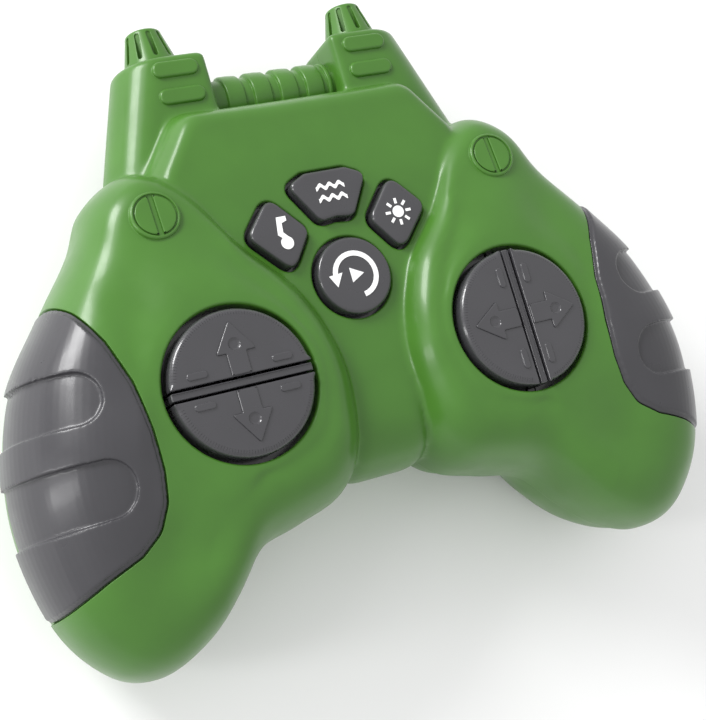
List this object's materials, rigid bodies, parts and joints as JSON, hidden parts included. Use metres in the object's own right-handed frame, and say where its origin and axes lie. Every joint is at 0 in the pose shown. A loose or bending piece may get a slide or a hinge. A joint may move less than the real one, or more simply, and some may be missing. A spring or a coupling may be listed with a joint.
{
  "type": "toy remote controller",
  "caption": "Handheld remote controller for a radio-controlled toy, with split thumb discs, face keys, grip pads and two short towers joined by a ribbed tube.",
  "frame": {"origin": "centre of the bounding box in X and Y, on the plane that the controller rests on", "axes": "+X across the controller to its right, +Y towards the two towers, +Z out of the face with the keys"},
  "size_m": [0.1586, 0.1344, 0.0472],
  "materials": {
    "green_plastic": "semi-gloss moulded plastic with a fine texture",
    "pad_grey": "semi-gloss dark grey",
    "key_grey": "satin dark grey",
    "print_white": "matt white ink",
    "board_green": "solder mask",
    "screw_steel": "zinc plated",
    "switch_black": "matt black",
    "chip_black": "matt black",
    "can_metal": "tinned",
    "antenna_copper": "bare wire",
    "cell_wrap": "plain printed sleeve",
    "contact_metal": "nickel plated",
    "wire_red": "insulation",
    "wire_black": "insulation"
  },
  "bodies": {
    "case": {"front_housing": "green_plastic", "rear_housing": "green_plastic", "left_grip_pad": "pad_grey", "right_grip_pad": "pad_grey", "left_cone": "green_plastic", "right_cone": "green_plastic", "ribbed_tube": "green_plastic", "left_divider": "key_grey", "right_divider": "key_grey", "main_board": "board_green", "board_screws": "screw_steel", "forward_switch": "switch_black", "reverse_switch": "switch_black", "left_turn_switch": "switch_black", "right_turn_switch": "switch_black", "music_switch": "switch_black", "wave_switch": "switch_black", "light_switch": "switch_black", "spin_switch": "switch_black", "control_chip": "chip_black", "radio_can": "can_metal", "antenna_wire": "antenna_copper", "battery_a": "cell_wrap", "battery_b": "cell_wrap", "link_contact": "contact_metal", "plus_contact": "contact_metal", "minus_contact": "contact_metal", "red_wire": "wire_red", "black_wire": "wire_black", "housing_screws": "screw_steel"},
    "forward_key_body": {"forward_key": "key_grey"},
    "reverse_key_body": {"reverse_key": "key_grey"},
    "left_turn_key_body": {"left_turn_key": "key_grey"},
    "right_turn_key_body": {"right_turn_key": "key_grey"},
    "music_key_body": {"music_key": "key_grey", "music_mark": "print_white"},
    "wave_key_body": {"wave_key": "key_grey", "wave_mark": "print_white"},
    "light_key_body": {"light_key": "key_grey", "light_mark": "print_white"},
    "spin_key_body": {"spin_key": "key_grey", "spin_mark": "print_white"},
    "door": {"battery_door": "green_plastic"}
  },
  "joints": [
    {"name": "forward_key_press", "type": "slide", "parent": "case", "child": "forward_key_body", "axis": [0, 0, -1], "range_m": [0, 0.0012], "stiffness_N_per_m": 900, "springref_m": -0.0008},
    {"name": "reverse_key_press", "type": "slide", "parent": "case", "child": "reverse_key_body", "axis": [0, 0, -1], "range_m": [0, 0.0012], "stiffness_N_per_m": 900, "springref_m": -0.0008},
    {"name": "left_turn_key_press", "type": "slide", "parent": "case", "child": "left_turn_key_body", "axis": [0, 0, -1], "range_m": [0, 0.0012], "stiffness_N_per_m": 900, "springref_m": -0.0008},
    {"name": "right_turn_key_press", "type": "slide", "parent": "case", "child": "right_turn_key_body", "axis": [0, 0, -1], "range_m": [0, 0.0012], "stiffness_N_per_m": 900, "springref_m": -0.0008},
    {"name": "music_key_press", "type": "slide", "parent": "case", "child": "music_key_body", "axis": [0, 0, -1], "range_m": [0, 0.001], "stiffness_N_per_m": 800, "springref_m": -0.0008},
    {"name": "wave_key_press", "type": "slide", "parent": "case", "child": "wave_key_body", "axis": [0, 0, -1], "range_m": [0, 0.001], "stiffness_N_per_m": 800, "springref_m": -0.0008},
    {"name": "light_key_press", "type": "slide", "parent": "case", "child": "light_key_body", "axis": [0, 0, -1], "range_m": [0, 0.001], "stiffness_N_per_m": 800, "springref_m": -0.0008},
    {"name": "spin_key_press", "type": "slide", "parent": "case", "child": "spin_key_body", "axis": [0, 0, -1], "range_m": [0, 0.001], "stiffness_N_per_m": 800, "springref_m": -0.0008},
    {"name": "battery_door_slide", "type": "slide", "parent": "case", "child": "door", "axis": [0, -1, 0], "range_m": [0, 0.036]}
  ]
}
